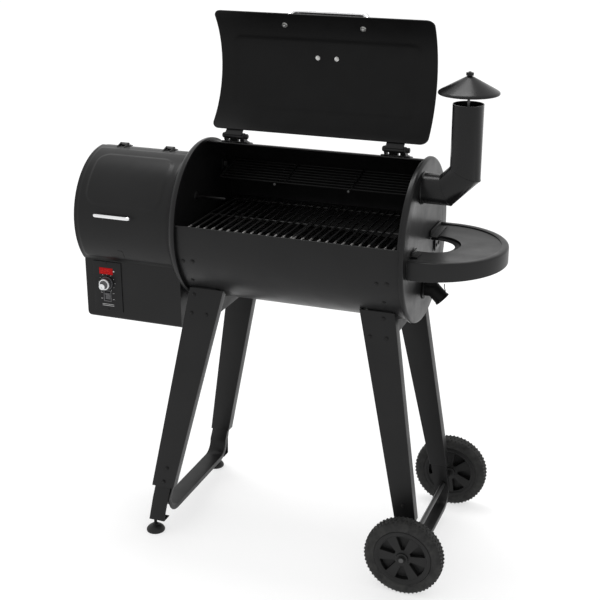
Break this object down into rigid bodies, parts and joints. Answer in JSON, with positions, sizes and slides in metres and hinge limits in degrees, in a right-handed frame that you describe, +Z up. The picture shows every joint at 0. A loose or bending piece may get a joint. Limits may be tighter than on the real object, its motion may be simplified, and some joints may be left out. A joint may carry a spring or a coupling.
{
  "type": "pellet smoker grill",
  "caption": "Barrel-shaped pellet smoker grill on angled legs and wheels, with a hinged lid, removable grates, a pellet hopper with controls, a side shelf and a capped chimney.",
  "frame": {"origin": "middle of the footprint on the floor, under the centre of the bounding box", "axes": "+X towards the side shelf and chimney, -X towards the hopper; -Y towards the cook; +Z up"},
  "size_m": [1.0484, 0.512, 1.318],
  "materials": {
    "body_paint": "satin black high-heat powder coat",
    "lid_paint": "satin black high-heat powder coat",
    "hopper_paint": "satin black powder coat",
    "leg_paint": "satin black powder coat",
    "shelf_paint": "satin black powder coat",
    "chimney_paint": "satin black high-heat paint",
    "spout_paint": "satin black high-heat paint",
    "handle_chrome": "polished",
    "grate_enamel": "dark baked enamel on wire, worn bright at the front ends",
    "inner_steel": "bare mill finish",
    "pin_steel": "zinc-plated steel",
    "panel_plastic": "fine matt",
    "fan_plastic": "matt",
    "display_red": "lit red display behind a clear window",
    "dial_silver": "silver-painted plastic",
    "wheel_plastic": "fine matt",
    "foot_plastic": "fine matt",
    "tyre_rubber": "dull, lightly textured"
  },
  "bodies": {
    "grill": {"barrel_shell": "body_paint", "left_end_cap": "body_paint", "right_end_cap": "body_paint", "lid_hinge_base_left": "body_paint", "lid_hinge_base_right": "body_paint", "hopper_housing": "hopper_paint", "leg_front_left": "leg_paint", "leg_front_right": "leg_paint", "leg_rear_left": "leg_paint", "leg_rear_right": "leg_paint", "saddle_left": "leg_paint", "saddle_right": "leg_paint", "foot_cross_bar": "leg_paint", "axle_cross_bar": "leg_paint", "foot_bracket_front": "leg_paint", "foot_bracket_rear": "leg_paint", "side_shelf": "shelf_paint", "shelf_bracket_front": "shelf_paint", "shelf_bracket_rear": "shelf_paint", "chimney_pipe": "chimney_paint", "drain_spout": "spout_paint", "fire_pot": "inner_steel", "pellet_bin": "inner_steel", "hopper_guard": "inner_steel", "auger_tube": "inner_steel", "auger_motor": "inner_steel", "igniter_rod": "inner_steel", "temperature_probe": "inner_steel", "lid_hinge_pin_left": "pin_steel", "lid_hinge_pin_right": "pin_steel", "hopper_hinge_left": "pin_steel", "hopper_hinge_right": "pin_steel", "wheel_axle": "pin_steel", "chimney_cap_stud": "pin_steel", "control_box": "panel_plastic", "power_inlet": "panel_plastic", "fan_frame": "fan_plastic", "display_window": "display_red"},
    "lid": {"lid_shell": "lid_paint", "lid_handle": "handle_chrome", "lid_hinge_leaf_left": "body_paint", "lid_hinge_leaf_right": "body_paint"},
    "hopper_lid": {"hopper_lid": "hopper_paint", "hopper_lid_handle": "handle_chrome"},
    "wheel_front": {"wheel_hub_front": "wheel_plastic", "tyre_front": "tyre_rubber"},
    "wheel_rear": {"wheel_hub_rear": "wheel_plastic", "tyre_rear": "tyre_rubber"},
    "dial": {"temperature_dial": "dial_silver"},
    "switch": {"power_switch": "panel_plastic"},
    "foot_front": {"levelling_foot_front": "foot_plastic"},
    "foot_rear": {"levelling_foot_rear": "foot_plastic"},
    "chimney_cap": {"chimney_cap": "chimney_paint"},
    "auger": {"auger_screw": "inner_steel"},
    "fan": {"fan_rotor": "fan_plastic"},
    "grate_left": {"cooking_grate_left": "grate_enamel"},
    "grate_right": {"cooking_grate_right": "grate_enamel"},
    "warming_rack": {"warming_rack": "grate_enamel"},
    "grease_tray": {"grease_tray": "inner_steel"},
    "heat_baffle": {"heat_baffle": "inner_steel"}
  },
  "joints": [
    {"name": "lid_hinge", "type": "hinge", "parent": "grill", "child": "lid", "pos_m": [0.04375, 0.03, 1.0175], "axis": [1, 0, 0], "range_deg": [0, 136.4]},
    {"name": "hopper_lid_hinge", "type": "hinge", "parent": "grill", "child": "hopper_lid", "pos_m": [-0.39175, 0.012, 0.9755], "axis": [1, 0, 0], "range_deg": [-150, 0]},
    {"name": "front_wheel_spin", "type": "hinge", "parent": "grill", "child": "wheel_front", "pos_m": [0.36375, -0.229, 0.097], "axis": [0, 1, 0], "continuous": true},
    {"name": "rear_wheel_spin", "type": "hinge", "parent": "grill", "child": "wheel_rear", "pos_m": [0.36375, 0.229, 0.097], "axis": [0, 1, 0], "continuous": true},
    {"name": "dial_turn", "type": "hinge", "parent": "grill", "child": "dial", "pos_m": [-0.46325, -0.122, 0.648], "axis": [0, 1, 0], "range_deg": [0, 270]},
    {"name": "switch_rock", "type": "hinge", "parent": "grill", "child": "switch", "pos_m": [-0.46375, -0.1185, 0.6125], "axis": [1, 0, 0], "range_deg": [-20, 0]},
    {"name": "front_foot_height", "type": "slide", "parent": "grill", "child": "foot_front", "axis": [0, 0, 1], "range_m": [-0.01, 0.015]},
    {"name": "rear_foot_height", "type": "slide", "parent": "grill", "child": "foot_rear", "axis": [0, 0, 1], "range_m": [-0.01, 0.015]},
    {"name": "chimney_cap_height", "type": "slide", "parent": "grill", "child": "chimney_cap", "axis": [0, 0, 1], "range_m": [-0.038, 0.008]},
    {"name": "auger_turn", "type": "hinge", "parent": "grill", "child": "auger", "pos_m": [-0.45625, 0, 0.672], "axis": [1, 0, 0], "continuous": true},
    {"name": "fan_spin", "type": "hinge", "parent": "grill", "child": "fan", "pos_m": [-0.28675, 0.06, 0.7], "axis": [1, 0, 0], "continuous": true},
    {"name": "left_grate_lift", "type": "slide", "parent": "grill", "child": "grate_left", "axis": [0, 0.6691, -0.7431], "range_m": [-0.27, 0]},
    {"name": "right_grate_lift", "type": "slide", "parent": "grill", "child": "grate_right", "axis": [0, 0.6691, -0.7431], "range_m": [-0.27, 0]},
    {"name": "warming_rack_draw", "type": "slide", "parent": "grill", "child": "warming_rack", "axis": [0, 0.9, -0.4359], "range_m": [-0.36, 0]},
    {"name": "grease_tray_lift", "type": "slide", "parent": "grill", "child": "grease_tray", "axis": [0, 0.4226, -0.9063], "range_m": [-0.618, 0]},
    {"name": "heat_baffle_lift", "type": "slide", "parent": "grill", "child": "heat_baffle", "axis": [0, 0.4226, -0.9063], "range_m": [-0.762, 0]}
  ]
}
